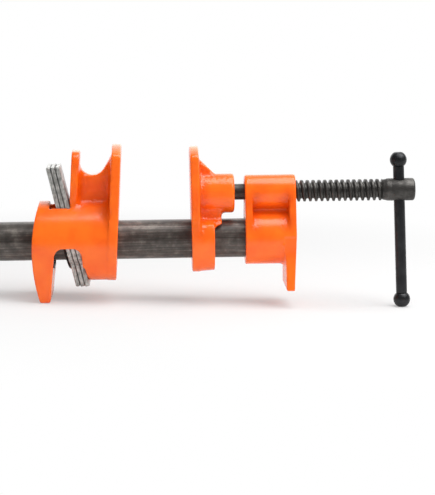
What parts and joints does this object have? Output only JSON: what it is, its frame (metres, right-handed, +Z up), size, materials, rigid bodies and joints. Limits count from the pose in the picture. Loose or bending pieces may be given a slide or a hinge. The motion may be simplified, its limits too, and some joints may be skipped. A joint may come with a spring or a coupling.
{
  "type": "woodworking pipe clamp",
  "caption": "Woodworking pipe clamp: a screw-driven jaw and its head on a steel pipe, a sliding tail jaw locked by tilting clutch plates, and a sliding T-bar handle.",
  "frame": {"origin": "centre of the pipe's free end, on the pipe's axis", "axes": "+X along the pipe towards the head and the handle, +Z up along the jaws, the picture's camera stands on the -Y side"},
  "size_m": [0.3916, 0.056, 0.1157],
  "materials": {
    "pipe_steel": "dark mill scale",
    "orange_paint": "gloss enamel on cast iron",
    "plate_zinc": "zinc plated, stamped",
    "spring_steel": "oiled spring wire",
    "pin_steel": "plain",
    "screw_steel": "black oxide",
    "handle_steel": "black oxide"
  },
  "bodies": {
    "pipe_and_head": {"pipe": "pipe_steel", "head_casting": "orange_paint"},
    "tail_jaw": {"tail_casting": "orange_paint", "clutch_spring": "spring_steel"},
    "rear_clutch_plate": {"clutch_plate_1": "plate_zinc"},
    "middle_clutch_plate": {"clutch_plate_2": "plate_zinc"},
    "front_clutch_plate": {"clutch_plate_3": "plate_zinc"},
    "screw_jaw": {"sliding_jaw": "orange_paint", "screw_retaining_pin": "pin_steel"},
    "screw": {"main_screw": "screw_steel"},
    "handle": {"t_bar": "handle_steel", "t_bar_ball_upper": "handle_steel", "t_bar_ball_lower": "handle_steel"}
  },
  "joints": [
    {"name": "tail_slide", "type": "slide", "parent": "pipe_and_head", "child": "tail_jaw", "axis": [1, 0, 0], "range_m": [-0.12, 0]},
    {"name": "clutch_tilt_1", "type": "hinge", "parent": "tail_jaw", "child": "rear_clutch_plate", "pos_m": [0.14716, 0, 0.026], "axis": [0, 1, 0], "range_deg": [0, 10], "stiffness_Nm_per_rad": 0.5, "springref_deg": -20.05, "deforming": ["clutch_spring"]},
    {"name": "clutch_tilt_2", "type": "hinge", "parent": "tail_jaw", "child": "middle_clutch_plate", "pos_m": [0.15034, 0, 0.026], "axis": [0, 1, 0], "range_deg": [0, 10]},
    {"name": "clutch_tilt_3", "type": "hinge", "parent": "tail_jaw", "child": "front_clutch_plate", "pos_m": [0.15352, 0, 0.026], "axis": [0, 1, 0], "range_deg": [0, 10]},
    {"name": "jaw_slide", "type": "slide", "parent": "pipe_and_head", "child": "screw_jaw", "axis": [1, 0, 0], "range_m": [-0.045, 0.0069]},
    {"name": "screw_turn", "type": "hinge", "parent": "screw_jaw", "child": "screw", "pos_m": [0.24725, 0, 0.03175], "axis": [1, 0, 0], "range_deg": [-4050, 620]},
    {"name": "t_bar_slide", "type": "slide", "parent": "screw", "child": "handle", "axis": [-0.0279, 0, 0.9996], "range_m": [-0.0082, 0.0643]}
  ],
  "couplings": [
    {"joint": "jaw_slide", "follows": "screw_turn", "m_per_rad": 0.00063662},
    {"joint": "clutch_tilt_2", "follows": "clutch_tilt_1", "ratio": 1},
    {"joint": "clutch_tilt_3", "follows": "clutch_tilt_1", "ratio": 1}
  ]
}
